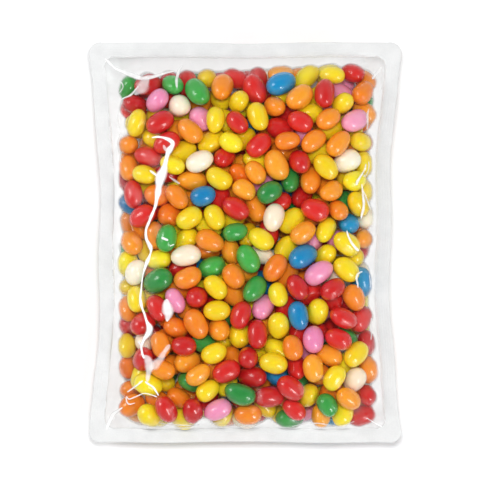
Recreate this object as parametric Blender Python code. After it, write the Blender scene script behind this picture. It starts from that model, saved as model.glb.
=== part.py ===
"""A clear flat pouch, heat-sealed on all four sides and filled with jelly beans, lying on its back.

Metres, +Z up, +Y towards the pouch's top end. The origin is on the flat underside, below the middle.
The pouch is one closed body: a thin sealed border, and between its borders a filled pocket whose
film is drawn tight over the beans, so that every bean near it stands out as a rounded bump.
"""

import math

import bmesh
import bpy
import numpy as np

MM = 0.001

# The pouch, laid flat on its back
BAG_WIDTH = 190 * MM
BAG_HEIGHT = 243 * MM
WAIST_WIDTH = 176 * MM
WAIST_POWER = 2.5
CORNER_RADIUS = 7 * MM
POCKET_CORNER_RADIUS = 6 * MM
SEAL_WIDTH = 9 * MM
SEAL_THICKNESS = 0.8 * MM
SEAL_LEVEL = 15.5 * MM
EDGE_WAVE = 0.8 * MM
SEAL_WAVE = 1.1 * MM

# The filled pocket is a lens about the seal's level, cut flat by the table
LENS_HALF_HEIGHT = 26.5 * MM
LENS_POWER_X = 6.0
LENS_POWER_TOP = 9.0
LENS_POWER_BOTTOM = 16.0
FILL_LEFT = 77 * MM
FILL_RIGHT = 80.5 * MM
FILL_TOP = 106 * MM
FILL_TOP_SLOPE = 0.045
FILL_BOTTOM = 111.3 * MM
CLEAR_OF_SEAL = 1.8 * MM

# The beans: a capsule's radius and half the length of its straight part
BEAN_COUNT = 487
BEAN_RADIUS = 6.25 * MM
BEAN_HALF_STRAIGHT = 2.4 * MM
SIZE_SPREAD = 0.045
PACKING_SEED = 8
PACKING_ROUNDS = 900
LIE_DOWN = 0.998
FILM_GAP = 0.35 * MM

# The film over them
FILM_CELL = 0.8 * MM
FILM_ROUNDS = 500
FILM_SUCTION = 0.034 * MM
FLAT_BELOW = 0.3 * MM

# The facets
POCKET_COLUMNS = 50
POCKET_ROWS = 66
SEAL_CELLS = 2

FILM_COLOUR = (0.86, 0.52, 0.16, 1.0)
FILM_ROUGHNESS = 0.15

# Folds in the film that stand up as ridges: (points from end to end, height, half width)
FOLDS = (
    (((-0.055, 0.062), (-0.043, 0.060), (-0.049, 0.046), (-0.051, 0.034), (-0.058, 0.008),
      (-0.056, -0.002), (-0.061, -0.020), (-0.062, -0.032), (-0.057, -0.053), (-0.062, -0.062)),
     1.3 * MM, 1.6 * MM),
    (((-0.061, -0.067), (-0.057, -0.075), (-0.059, -0.084), (-0.070, -0.091)), 1.0 * MM, 1.5 * MM),
    (((-0.061, -0.084), (-0.055, -0.087), (-0.052, -0.093), (-0.070, -0.096)), 0.8 * MM, 1.4 * MM),
    (((0.073, 0.048), (0.067, 0.036), (0.071, 0.024), (0.070, 0.014)), 1.0 * MM, 1.4 * MM),
    (((0.061, 0.007), (0.063, 0.000), (0.068, -0.005)), 1.0 * MM, 1.4 * MM),
    (((-0.085, 0.112), (-0.073, 0.101), (-0.056, 0.098), (-0.042, 0.105)), 1.2 * MM, 1.6 * MM),
    (((0.085, 0.111), (0.076, 0.098), (0.075, 0.084)), 1.2 * MM, 1.6 * MM),
    (((-0.085, -0.112), (-0.080, -0.104), (-0.075, -0.099)), 1.2 * MM, 1.6 * MM),
    (((0.085, -0.112), (0.076, -0.105)), 1.0 * MM, 1.4 * MM),
)


def clear_scene():
    for obj in list(bpy.data.objects):
        bpy.data.objects.remove(obj)


# The pouch's outline

def half_width(y):
    """Half the pouch's width at a height: drawn in at the waist, with a slow wave along the edge."""
    along = np.clip(np.abs(y) / (BAG_HEIGHT / 2 - CORNER_RADIUS), 0, 1)
    flare = along**WAIST_POWER
    wave = EDGE_WAVE * np.sin(2 * math.pi * y / 0.083 + 0.7) * (1 - along**4)
    return WAIST_WIDTH / 2 + (BAG_WIDTH - WAIST_WIDTH) / 2 * flare + wave


def half_height(x):
    """Half the pouch's height at a place across it: its two ends are nearly straight."""
    along = np.clip(np.abs(x) / (BAG_WIDTH / 2), 0, 1)
    return BAG_HEIGHT / 2 - EDGE_WAVE * (1 + np.cos(2 * math.pi * x / 0.097)) / 2 * (1 - along**4)


def in_pocket(x, y):
    """True inside the seal, where the two films are apart. The pocket's corners are round."""
    dx = half_width(y) - SEAL_WIDTH - np.abs(x)
    dy = half_height(x) - SEAL_WIDTH - np.abs(y)
    near_x = np.maximum(POCKET_CORNER_RADIUS - dx, 0)
    near_y = np.maximum(POCKET_CORNER_RADIUS - dy, 0)
    return (dx > 0) & (dy > 0) & (np.hypot(near_x, near_y) < POCKET_CORNER_RADIUS)


def seal_level(x, y):
    """The middle of the sealed border, which waves a little round the pouch."""
    wave = np.sin(2 * math.pi * (x / 0.120 + y / 0.074)) * np.cos(2 * math.pi * (x / 0.088 - y / 0.131))
    return SEAL_LEVEL + SEAL_WAVE * wave


# The beans, packed in the pocket

def lens(points):
    """(value, gradient) of the pocket's wall: the value is below 0 inside the lens."""
    x, y, z = points.T
    inside_seal = half_width(y) - SEAL_WIDTH - CLEAR_OF_SEAL
    across = np.minimum(np.where(x < 0, FILL_LEFT, FILL_RIGHT), inside_seal)
    along = np.where(y > 0, FILL_TOP + FILL_TOP_SLOPE * x, FILL_BOTTOM)
    power_y = np.where(y > 0, LENS_POWER_TOP, LENS_POWER_BOTTOM)
    u = np.minimum(np.abs(x) / across, 0.999)
    v = np.minimum(np.abs(y) / along, 0.999)
    rest_x, rest_y = 1 - u**LENS_POWER_X, 1 - v**power_y
    up = (z - SEAL_LEVEL) / LENS_HALF_HEIGHT
    gradient = np.stack([
        LENS_POWER_X * u ** (LENS_POWER_X - 1) / across * np.sign(x) * rest_y,
        power_y * v ** (power_y - 1) / along * np.sign(y) * rest_x,
        2 * up / LENS_HALF_HEIGHT,
    ], axis=1)
    return up**2 - rest_x * rest_y, gradient


def nearest_on_axes(pa, da, ha, pb, db, hb):
    """Where along two beans' axes, from their middles, the axes come closest."""
    apart = pa - pb
    turn = (da * db).sum(1)
    c, f = (da * apart).sum(1), (db * apart).sum(1)
    s = np.clip((turn * f - c) / np.maximum(1 - turn * turn, 1e-6), -ha, ha)
    t = np.clip(turn * s + f, -hb, hb)
    return np.clip(turn * t - c, -ha, ha), t


def summed(index, values, count):
    return np.stack([np.bincount(index, values[:, k], count) for k in range(3)], axis=1)


def pack_beans():
    """Beans grow from small seeds in the pocket and push each other apart until they just touch. They
    lie down a little more each round, as when the pouch is patted flat."""
    draw = np.random.default_rng(PACKING_SEED)
    n = BEAN_COUNT
    size = np.clip(draw.normal(1, SIZE_SPREAD, n), 0.9, 1.1)
    full_radius = BEAN_RADIUS * size * draw.uniform(0.97, 1.03, n)
    full_half = BEAN_HALF_STRAIGHT * size * draw.uniform(0.72, 1.22, n)
    low = [-WAIST_WIDTH / 2, -BAG_HEIGHT / 2, BEAN_RADIUS]
    high = [WAIST_WIDTH / 2, BAG_HEIGHT / 2, SEAL_LEVEL + LENS_HALF_HEIGHT]
    middle = draw.uniform(low, high, (12 * n, 3))
    middle = middle[lens(middle)[0] < -0.25][:n]
    axis = draw.normal(size=(n, 3)) * [1, 1, 0.5]
    axis /= np.linalg.norm(axis, axis=1)[:, None]
    for turn in range(PACKING_ROUNDS):
        grown = min(1.0, 0.55 + turn / PACKING_ROUNDS)
        radius, half = full_radius * grown, full_half * grown
        if turn % 8 == 0:
            gaps = ((middle[:, None] - middle[None]) ** 2).sum(2)
            i, j = np.where(np.triu(gaps < (3.5 * BEAN_RADIUS) ** 2, 1))
        s, t = nearest_on_axes(middle[i], axis[i], half[i], middle[j], axis[j], half[j])
        arm_i, arm_j = axis[i] * s[:, None], axis[j] * t[:, None]
        apart = middle[i] + arm_i - middle[j] - arm_j
        distance = np.linalg.norm(apart, axis=1) + 1e-9
        overlap = np.maximum(radius[i] + radius[j] - distance, 0)
        push = apart * (overlap / distance / 2)[:, None]
        slow = 0.5 * radius**2 + half**2
        shift = summed(i, push, n) - summed(j, push, n)
        spin = summed(i, np.cross(arm_i, push), n) - summed(j, np.cross(arm_j, push), n)
        for end in (-1, 1):
            arm = axis * (end * half)[:, None]
            value, gradient = lens(middle + arm)
            steep = np.linalg.norm(gradient, axis=1) + 1e-9
            outside = np.maximum(radius + FILM_GAP + value / steep, 0)
            wall = -gradient * (outside / steep)[:, None]
            wall[:, 2] += np.maximum(radius + FILM_GAP - (middle + arm)[:, 2], 0)
            shift += 0.7 * wall
            spin += np.cross(arm, wall)
        shift[:, 2] -= 0.02 * MM
        length = np.linalg.norm(shift, axis=1)
        shift *= np.minimum(1, 1.5 * MM / np.maximum(length, 1e-9))[:, None]
        middle = middle + 0.6 * shift
        axis = axis + np.cross(0.8 * spin / slow[:, None], axis)
        axis[:, 2] *= LIE_DOWN
        axis /= np.linalg.norm(axis, axis=1)[:, None]
    return middle, axis, full_radius, full_half


# The film, drawn over the beans

def film_grid():
    xs = np.arange(-BAG_WIDTH / 2 - FILM_CELL, BAG_WIDTH / 2 + 2 * FILM_CELL, FILM_CELL)
    ys = np.arange(-BAG_HEIGHT / 2 - FILM_CELL, BAG_HEIGHT / 2 + 2 * FILM_CELL, FILM_CELL)
    return xs, ys


def bean_heights(beans, xs, ys, side):
    """The outermost height of the beans over the grid, up for side 1 and down for side -1."""
    height = np.full((len(xs), len(ys)), -1.0)
    for middle, axis, radius, half in zip(*beans):
        for step in np.linspace(-1, 1, 5):
            ball = middle + axis * (half * step)
            reach = radius + FILM_GAP
            i = slice(*np.searchsorted(xs, [ball[0] - reach, ball[0] + reach]))
            j = slice(*np.searchsorted(ys, [ball[1] - reach, ball[1] + reach]))
            off = (xs[i, None] - ball[0]) ** 2 + (ys[None, j] - ball[1]) ** 2
            top = side * ball[2] + np.sqrt(np.maximum(reach**2 - off, 0))
            height[i, j] = np.maximum(height[i, j], np.where(off < reach**2, top, -1.0))
    return height


def fold_heights(x, y):
    """The ridges that folded film makes along the lines in FOLDS."""
    height = np.zeros(np.broadcast(x, y).shape)
    for points, tall, wide in FOLDS:
        nearest = np.full(height.shape, 1.0)
        for (ax, ay), (bx, by) in zip(points, points[1:]):
            along = ((x - ax) * (bx - ax) + (y - ay) * (by - ay)) / ((bx - ax) ** 2 + (by - ay) ** 2)
            along = np.clip(along, 0, 1)
            nearest = np.minimum(nearest, np.hypot(x - ax - along * (bx - ax), y - ay - along * (by - ay)))
        height = np.maximum(height, tall * np.exp(-((nearest / wide) ** 2)))
    return height


def drape(beans, xs, ys, side):
    """Film height over the grid, held by the seal and never inside a bean. The upper film is drawn in a
    little between the beans, and the lower one lies flat on the table."""
    x, y = np.meshgrid(xs, ys, indexing="ij")
    pocket = in_pocket(x, y)
    seal = side * seal_level(x, y)
    under = bean_heights(beans, xs, ys, side)
    table, suction = (math.inf, FILM_SUCTION) if side > 0 else (0.0, 0.0)
    height = np.where(pocket, np.maximum(under, seal), seal)
    even = (np.add.outer(np.arange(len(xs)), np.arange(len(ys))) % 2).astype(bool)
    for turn in range(FILM_ROUNDS):
        for part in (even, ~even):
            around = np.zeros_like(height)
            around[1:-1, 1:-1] = (
                height[:-2, 1:-1] + height[2:, 1:-1] + height[1:-1, :-2] + height[1:-1, 2:]
            ) / 4 - suction
            eased = height + 1.6 * (around - height)
            eased = np.minimum(np.maximum(eased, under), table)
            height = np.where(pocket & part, eased, height)
    return side * height


def sampled(grid, xs, ys, x, y):
    """The grid's height at any point, by straight blends between its four neighbours."""
    i = np.clip((x - xs[0]) / FILM_CELL, 0, len(xs) - 2)
    j = np.clip((y - ys[0]) / FILM_CELL, 0, len(ys) - 2)
    a, b = i.astype(int), j.astype(int)
    s, t = i - a, j - b
    low = grid[a, b] * (1 - s) + grid[a + 1, b] * s
    high = grid[a, b + 1] * (1 - s) + grid[a + 1, b + 1] * s
    return low * (1 - t) + high * t


# The body's facets

def facet_lines(cells, half):
    """Signed places of the grid's lines across one direction: narrow in the seal, even in the pocket."""
    seal = np.linspace(0, SEAL_WIDTH, SEAL_CELLS + 1)[:-1]
    inner = half - SEAL_WIDTH
    pocket = np.linspace(-inner, inner, cells + 1)
    return np.concatenate([seal - half, pocket, half - seal[::-1]])


def facet_points():
    """The x and y of the body's facet corners, with the pouch's round corners."""
    across = facet_lines(POCKET_COLUMNS, BAG_WIDTH / 2)
    along = facet_lines(POCKET_ROWS, BAG_HEIGHT / 2)
    x, y = np.meshgrid(across, along, indexing="ij")
    inner_x, inner_y = BAG_WIDTH / 2 - SEAL_WIDTH, BAG_HEIGHT / 2 - SEAL_WIDTH
    # A line in the seal keeps its distance from the edge, and the pocket's lines share what is left.
    wide, tall = half_width(y), half_height(x)
    seal_x, pocket_x = x + np.sign(x) * (wide - BAG_WIDTH / 2), x * (wide - SEAL_WIDTH) / inner_x
    seal_y, pocket_y = y + np.sign(y) * (tall - BAG_HEIGHT / 2), y * (tall - SEAL_WIDTH) / inner_y
    x = np.where(np.abs(x) > inner_x, seal_x, pocket_x)
    y = np.where(np.abs(y) > inner_y, seal_y, pocket_y)
    # Each ring of facet corners gets round corners of its own: the outline's, then the pocket's.
    wide, tall = half_width(y), half_height(x)
    depth = np.minimum(wide - np.abs(x), tall - np.abs(y))
    in_seal = np.clip(depth / SEAL_WIDTH, 0, 1)
    radius = CORNER_RADIUS + (POCKET_CORNER_RADIUS - CORNER_RADIUS) * in_seal
    radius = np.maximum(radius - np.maximum(depth - SEAL_WIDTH, 0), 0)
    dx = np.maximum(np.abs(x) - (wide - depth - radius), 0)
    dy = np.maximum(np.abs(y) - (tall - depth - radius), 0)
    shrink = np.maximum(dx, dy) / np.maximum(np.hypot(dx, dy), 1e-9)
    shrink = np.where((dx > 0) & (dy > 0), shrink, 1.0)
    return x - np.sign(x) * dx * (1 - shrink), y - np.sign(y) * dy * (1 - shrink)


def build_bag():
    beans = pack_beans()
    xs, ys = film_grid()
    x, y = facet_points()
    middle = seal_level(x, y)
    top = sampled(drape(beans, xs, ys, 1), xs, ys, x, y) + fold_heights(x, y)
    bottom = sampled(drape(beans, xs, ys, -1), xs, ys, x, y)
    columns, rows = x.shape
    in_seal = np.ones(x.shape, bool)
    in_seal[SEAL_CELLS + 1:-SEAL_CELLS - 1, SEAL_CELLS + 1:-SEAL_CELLS - 1] = False
    top = np.where(in_seal, middle, top) + SEAL_THICKNESS / 2
    bottom = np.where(in_seal, middle - SEAL_THICKNESS / 2, bottom)
    bottom[~in_seal & (bottom < FLAT_BELOW)] = 0.0

    body = bmesh.new()
    upper = [[body.verts.new((x[i, j], y[i, j], top[i, j])) for j in range(rows)] for i in range(columns)]
    lower = [[body.verts.new((x[i, j], y[i, j], bottom[i, j])) for j in range(rows)] for i in range(columns)]
    for i in range(columns - 1):
        for j in range(rows - 1):
            body.faces.new((upper[i][j], upper[i + 1][j], upper[i + 1][j + 1], upper[i][j + 1]))
            body.faces.new((lower[i][j], lower[i][j + 1], lower[i + 1][j + 1], lower[i + 1][j]))
    rim = ([(i, 0) for i in range(columns)] + [(columns - 1, j) for j in range(1, rows)]
           + [(i, rows - 1) for i in range(columns - 2, -1, -1)] + [(0, j) for j in range(rows - 2, 0, -1)])
    for (ai, aj), (bi, bj) in zip(rim, rim[1:] + rim[:1]):
        body.faces.new((lower[ai][aj], lower[bi][bj], upper[bi][bj], upper[ai][aj]))

    # The part of the underside that lies on the table is one flat face.
    on_table = [f for f in body.faces if all(v.co.z == 0 for v in f.verts)]
    bmesh.ops.dissolve_faces(body, faces=on_table, use_verts=True)
    bmesh.ops.triangulate(body, faces=body.faces[:])

    mesh = bpy.data.meshes.new("jelly_bean_bag")
    body.to_mesh(mesh)
    body.free()
    bag = bpy.data.objects.new("jelly_bean_bag", mesh)
    bpy.context.scene.collection.objects.link(bag)
    mesh.materials.append(film_material())
    mesh.shade_smooth()
    mesh.set_sharp_from_angle(angle=math.radians(50))
    return bag


def film_material():
    material = bpy.data.materials.new("clear film over jelly beans")
    material.use_nodes = True
    shader = material.node_tree.nodes["Principled BSDF"]
    shader.inputs["Base Color"].default_value = FILM_COLOUR
    shader.inputs["Roughness"].default_value = FILM_ROUGHNESS
    return material


clear_scene()
build_bag()
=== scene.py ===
# %% [markdown]
# A clear, flat pouch of jelly beans, seen from straight above. On the real thing two sheets of clear
# plastic film are welded together round their edges, nearly five hundred sugar-coated beans fill the
# pocket between them, and the film is drawn tight over the beans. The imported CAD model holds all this
# as one plain solid. This lesson replaces it with what the eye sees: beans, film and weld.

# %% Load the frame
import math
import bmesh
import bpy
import numpy as np
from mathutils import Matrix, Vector


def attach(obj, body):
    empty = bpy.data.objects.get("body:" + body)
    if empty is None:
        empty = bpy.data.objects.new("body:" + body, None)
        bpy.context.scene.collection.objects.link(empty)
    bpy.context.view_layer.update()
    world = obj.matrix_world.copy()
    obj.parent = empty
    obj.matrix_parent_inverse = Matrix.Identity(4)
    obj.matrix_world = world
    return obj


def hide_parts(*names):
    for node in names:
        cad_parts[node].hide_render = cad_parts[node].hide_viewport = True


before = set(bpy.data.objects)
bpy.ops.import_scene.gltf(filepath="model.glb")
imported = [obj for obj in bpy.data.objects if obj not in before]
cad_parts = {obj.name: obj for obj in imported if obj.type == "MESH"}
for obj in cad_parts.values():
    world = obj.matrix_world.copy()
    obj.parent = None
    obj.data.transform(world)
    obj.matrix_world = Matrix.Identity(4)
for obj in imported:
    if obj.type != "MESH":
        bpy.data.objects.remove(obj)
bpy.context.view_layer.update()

MM = 0.001
POUCH = "jelly_bean_bag"

# %% [markdown]
# Colours are written as hex, as in any paint program. Those numbers are sRGB, bent to suit screens and
# eyes, while Blender's sockets take linear light. One function does the change for every colour here.

# %% From hex to linear light
def linear(hex_colour):
    """An sRGB hex colour as linear red, green, blue and 1 for alpha."""
    channels = [int(hex_colour[k:k + 2], 16) / 255 for k in (1, 3, 5)]
    bent = [c / 12.92 if c <= 0.04045 else ((c + 0.055) / 1.055) ** 2.4 for c in channels]
    return (*bent, 1.0)

print("mid grey in linear light:", round(linear("#808080")[0], 3))

# %% [markdown]
# A material is a small graph. Building it by hand means the same three steps for each node: add it, set
# its sockets, link it. One helper does them all, whatever the node: a value given for a socket is typed
# in, and an output given for a socket is linked.

# %% One helper for every shader node
def add(tree, kind, sockets=None, **settings):
    """Adds a node of a kind, with its own settings, and fills its input sockets by name or number."""
    made = tree.nodes.new(kind)
    for name, value in settings.items():
        setattr(made, name, value)
    for name, value in (sockets or {}).items():
        if isinstance(value, bpy.types.NodeSocket):
            tree.links.new(value, made.inputs[name])
        else:
            made.inputs[name].default_value = value
    return made


def blank_material(name):
    """A new material with nothing in its graph: (material, tree)."""
    material = bpy.data.materials.new(name)
    material.use_nodes = True
    material.node_tree.nodes.clear()
    return material, material.node_tree

# %% [markdown]
# The pouch's outline comes first, because beans, film and weld all follow it. A flat bag that is filled
# draws in at its sides, most at the middle of their length, so it is narrower at the waist than at the
# ends. The film is soft, so no edge is quite straight. Two short formulas say this, and the real sizes
# are the ones the CAD was made from.

# %% The pouch's outline
BAG_WIDTH = 190 * MM
BAG_HEIGHT = 243 * MM
WAIST_WIDTH = 176 * MM
WAIST_POWER = 2.5
CORNER_RADIUS = 7 * MM
POCKET_CORNER_RADIUS = 6 * MM
SEAL_WIDTH = 9 * MM
SEAL_LEVEL = 15.5 * MM
EDGE_WAVE = 0.8 * MM
SIDE_WAVE_LENGTH = 83 * MM
SIDE_WAVE_START = 0.7
END_WAVE_LENGTH = 97 * MM
SEAL_WAVE = 1.1 * MM
SEAL_WAVE_LENGTHS = (120 * MM, 74 * MM, 88 * MM, 131 * MM)


def half_width(y):
    """Half the pouch's width at a height: drawn in at the waist, with a slow wave along the edge."""
    along = np.clip(np.abs(y) / (BAG_HEIGHT / 2 - CORNER_RADIUS), 0, 1)
    flare = along**WAIST_POWER
    wave = EDGE_WAVE * np.sin(2 * math.pi * y / SIDE_WAVE_LENGTH + SIDE_WAVE_START) * (1 - along**4)
    return WAIST_WIDTH / 2 + (BAG_WIDTH - WAIST_WIDTH) / 2 * flare + wave


def half_height(x):
    """Half the pouch's height at a place across it: its two ends are nearly straight."""
    along = np.clip(np.abs(x) / (BAG_WIDTH / 2), 0, 1)
    return BAG_HEIGHT / 2 - EDGE_WAVE * (1 + np.cos(2 * math.pi * x / END_WAVE_LENGTH)) / 2 * (1 - along**4)


def in_pocket(x, y):
    """True inside the seal, where the two films are apart. The pocket's corners are round."""
    dx = half_width(y) - SEAL_WIDTH - np.abs(x)
    dy = half_height(x) - SEAL_WIDTH - np.abs(y)
    near_x = np.maximum(POCKET_CORNER_RADIUS - dx, 0)
    near_y = np.maximum(POCKET_CORNER_RADIUS - dy, 0)
    return (dx > 0) & (dy > 0) & (np.hypot(near_x, near_y) < POCKET_CORNER_RADIUS)


def seal_level(x, y):
    """The middle of the sealed border, which waves a little round the pouch."""
    a, b, c, d = SEAL_WAVE_LENGTHS
    wave = np.sin(2 * math.pi * (x / a + y / b)) * np.cos(2 * math.pi * (x / c - y / d))
    return SEAL_LEVEL + SEAL_WAVE * wave

print(f"waist {2000 * half_width(0.0):.1f} mm, ends {2000 * half_width(BAG_HEIGHT / 2):.1f} mm wide")

# %% [markdown]
# Now the beans. Nearly five hundred could be dropped in with rigid body physics, but that is slow and
# hard to keep inside a soft bag. A gentler way gives the same look: each bean is taken as a capsule, a
# stick with a thick round coat, and starts small somewhere in the pocket. Then all of them grow, and at
# each step those that overlap push each other apart and turn each other. What they end in is a jam, with
# every bean held by its neighbours, as in the bag.
#
# The pocket's wall is a lens: a formula that is below zero inside and above zero outside. Its slope
# says which way is out, so a bean that crosses the wall is pushed back along it.

# %% The pocket's wall
LENS_HALF_HEIGHT = 26.5 * MM
LENS_POWER_X = 6.0
LENS_POWER_TOP = 9.0
LENS_POWER_BOTTOM = 16.0
FILL_LEFT = 77 * MM
FILL_RIGHT = 80.5 * MM
FILL_TOP = 106 * MM
FILL_TOP_SLOPE = 0.045
FILL_BOTTOM = 111.3 * MM
CLEAR_OF_SEAL = 1.8 * MM
NEARLY_OUT = 0.999  # a bean past the wall's edge counts as just inside it, where the slope points out
PARALLEL = 1e-6  # keeps two beans with parallel axes from dividing by zero


def lens(points):
    """(value, gradient) of the pocket's wall: the value is below 0 inside the lens."""
    x, y, z = points.T
    inside_seal = half_width(y) - SEAL_WIDTH - CLEAR_OF_SEAL
    across = np.minimum(np.where(x < 0, FILL_LEFT, FILL_RIGHT), inside_seal)
    along = np.where(y > 0, FILL_TOP + FILL_TOP_SLOPE * x, FILL_BOTTOM)
    power_y = np.where(y > 0, LENS_POWER_TOP, LENS_POWER_BOTTOM)
    u = np.minimum(np.abs(x) / across, NEARLY_OUT)
    v = np.minimum(np.abs(y) / along, NEARLY_OUT)
    rest_x, rest_y = 1 - u**LENS_POWER_X, 1 - v**power_y
    up = (z - SEAL_LEVEL) / LENS_HALF_HEIGHT
    gradient = np.stack([
        LENS_POWER_X * u ** (LENS_POWER_X - 1) / across * np.sign(x) * rest_y,
        power_y * v ** (power_y - 1) / along * np.sign(y) * rest_x,
        2 * up / LENS_HALF_HEIGHT,
    ], axis=1)
    return up**2 - rest_x * rest_y, gradient


def nearest_on_axes(pa, da, ha, pb, db, hb):
    """Where along two beans' axes, from their middles, the axes come closest."""
    apart = pa - pb
    turn = (da * db).sum(1)
    c, f = (da * apart).sum(1), (db * apart).sum(1)
    s = np.clip((turn * f - c) / np.maximum(1 - turn * turn, PARALLEL), -ha, ha)
    t = np.clip(turn * s + f, -hb, hb)
    return np.clip(turn * t - c, -ha, ha), t


def summed(index, values, count):
    """The values added up for each index: one row of three for every bean."""
    return np.stack([np.bincount(index, values[:, k], count) for k in range(3)], axis=1)

# %% Grow the beans until they jam
BEAN_COUNT = 487
BEAN_RADIUS = 6.25 * MM
BEAN_HALF_STRAIGHT = 2.4 * MM
SIZE_SPREAD = 0.045
SIZE_LIMITS = (0.9, 1.1)
THICK_LIMITS = (0.97, 1.03)
STRAIGHT_LIMITS = (0.72, 1.22)
PACKING_SEED = 8
PACKING_ROUNDS = 900
START_SIZE = 0.55
START_DEPTH = 0.25  # how far below zero the wall's formula is where a bean may start
NEIGHBOUR_ROUNDS = 8  # the list of neighbours is made anew after so many rounds
NEIGHBOUR_REACH = 3.5 * BEAN_RADIUS
WALL_SHARE = 0.7  # only a share of each push is used, or the jam would shake
SHIFT_SHARE = 0.6
SPIN_SHARE = 0.8
LONGEST_SHIFT = 1.5 * MM
SINK = 0.02 * MM  # the beans' own weight, each round
LIE_DOWN = 0.998
FILM_GAP = 0.35 * MM
TINY = 1e-9  # keeps divisions from meeting a zero


def pack_beans():
    """Beans grow from small seeds in the pocket and push each other apart until they just touch. They
    lie down a little more each round, as when the pouch is patted flat."""
    draw = np.random.default_rng(PACKING_SEED)
    n = BEAN_COUNT
    size = np.clip(draw.normal(1, SIZE_SPREAD, n), *SIZE_LIMITS)
    full_radius = BEAN_RADIUS * size * draw.uniform(*THICK_LIMITS, n)
    full_half = BEAN_HALF_STRAIGHT * size * draw.uniform(*STRAIGHT_LIMITS, n)
    low = [-WAIST_WIDTH / 2, -BAG_HEIGHT / 2, BEAN_RADIUS]
    high = [WAIST_WIDTH / 2, BAG_HEIGHT / 2, SEAL_LEVEL + LENS_HALF_HEIGHT]
    middle = draw.uniform(low, high, (12 * n, 3))  # far more than fit: those outside the wall go
    middle = middle[lens(middle)[0] < -START_DEPTH][:n]
    axis = draw.normal(size=(n, 3)) * [1, 1, 0.5]  # most beans lie rather flat
    axis /= np.linalg.norm(axis, axis=1)[:, None]
    for turn in range(PACKING_ROUNDS):
        grown = min(1.0, START_SIZE + turn / PACKING_ROUNDS)
        radius, half = full_radius * grown, full_half * grown
        if turn % NEIGHBOUR_ROUNDS == 0:
            gaps = ((middle[:, None] - middle[None]) ** 2).sum(2)
            i, j = np.where(np.triu(gaps < NEIGHBOUR_REACH**2, 1))
        s, t = nearest_on_axes(middle[i], axis[i], half[i], middle[j], axis[j], half[j])
        arm_i, arm_j = axis[i] * s[:, None], axis[j] * t[:, None]
        apart = middle[i] + arm_i - middle[j] - arm_j
        distance = np.linalg.norm(apart, axis=1) + TINY
        overlap = np.maximum(radius[i] + radius[j] - distance, 0)
        push = apart * (overlap / distance / 2)[:, None]
        slow = 0.5 * radius**2 + half**2  # a long bean is slow to turn
        shift = summed(i, push, n) - summed(j, push, n)
        spin = summed(i, np.cross(arm_i, push), n) - summed(j, np.cross(arm_j, push), n)
        for end in (-1, 1):
            arm = axis * (end * half)[:, None]
            value, gradient = lens(middle + arm)
            steep = np.linalg.norm(gradient, axis=1) + TINY
            outside = np.maximum(radius + FILM_GAP + value / steep, 0)
            wall = -gradient * (outside / steep)[:, None]
            wall[:, 2] += np.maximum(radius + FILM_GAP - (middle + arm)[:, 2], 0)
            shift += WALL_SHARE * wall
            spin += np.cross(arm, wall)
        shift[:, 2] -= SINK
        length = np.linalg.norm(shift, axis=1)
        shift *= np.minimum(1, LONGEST_SHIFT / np.maximum(length, TINY))[:, None]
        middle = middle + SHIFT_SHARE * shift
        axis = axis + np.cross(SPIN_SHARE * spin / slow[:, None], axis)
        axis[:, 2] *= LIE_DOWN
        axis /= np.linalg.norm(axis, axis=1)[:, None]
    return middle, axis, full_radius, full_half


beans = pack_beans()
reach = beans[0][:, :2].max(0) - beans[0][:, :2].min(0)
print(f"{len(beans[0])} beans, their middles spread over {reach[0] * 1000:.0f} x {reach[1] * 1000:.0f} mm")

# %% [markdown]
# A jelly bean is a soft starch jelly centre that tumbles in a pan while syrup and sugar build a shell
# round it, so no two are alike: most are plump ovals, some a little pear-shaped, bent like a kidney or
# flat on one side. Sculpting them all is out of the question. Instead one ball of even squares, a
# cube blown up to a sphere, is bent by a few random numbers for each bean. A ball made from a cube has no
# poles, so the gloss runs over it without a pinch.

# %% The ball that every bean is shaped from
BALL_CUTS = 8


def even_ball(cuts):
    """A cube's faces cut into squares and blown up to a unit ball: (points, faces)."""
    cube = bmesh.new()
    bmesh.ops.create_cube(cube, size=2)
    bmesh.ops.subdivide_edges(cube, edges=cube.edges[:], cuts=cuts - 1, use_grid_fill=True)
    points = np.tan(np.array([v.co for v in cube.verts]) * math.pi / 4)
    points /= np.linalg.norm(points, axis=1)[:, None]
    faces = np.array([[v.index for v in f.verts] for f in cube.faces])
    cube.free()
    return points, faces


ball_points, ball_faces = even_ball(BALL_CUTS)
print(f"the ball has {len(ball_points)} points and {len(ball_faces)} squares")

# %% Bend the ball into one bean
BEAN_FULLNESS = 2.3
BEAN_SHRINK = 0.99  # a little smaller than its capsule, to make room for the lumps
BEND = 0.9 * MM
BEND_BALANCE = 0.3  # about the mean of along**2, so that a bent bean stays where it is
TAPER = 0.07
FLATTEN = 0.09
LUMP = 0.016
LUMP_WAVES = 4
LUMP_PITCH = 1.7


def bean_points(middle, axis, radius, half, draw):
    """One bean's points in the pouch: an oval along its axis, a little bent, tapered, flat and lumpy."""
    along = ball_points[:, 0]
    full = np.sqrt((1 - np.abs(along) ** BEAN_FULLNESS) / np.maximum(1 - along**2, TINY))
    lumps = np.ones(len(along))
    for _ in range(LUMP_WAVES):
        way, phase = draw.normal(size=3), draw.uniform(0, 2 * math.pi)
        lumps += LUMP * np.sin(ball_points @ way * LUMP_PITCH + phase)
    taper = 1 + draw.uniform(-TAPER, TAPER) * along
    thickness = radius * full * taper * lumps
    across = ball_points[:, 1:] * thickness[:, None] * [1, 1 - draw.uniform(0, FLATTEN)]
    bend = draw.triangular(0, 0, BEND)
    across[:, 0] += bend * (BEND_BALANCE - along**2)
    sideways = np.cross(axis, draw.normal(size=3))
    sideways /= np.linalg.norm(sideways)
    frame_of_bean = np.stack([axis, sideways, np.cross(axis, sideways)])
    local = np.column_stack([(radius + half) * along, across]) * BEAN_SHRINK
    return middle + local @ frame_of_bean


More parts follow.
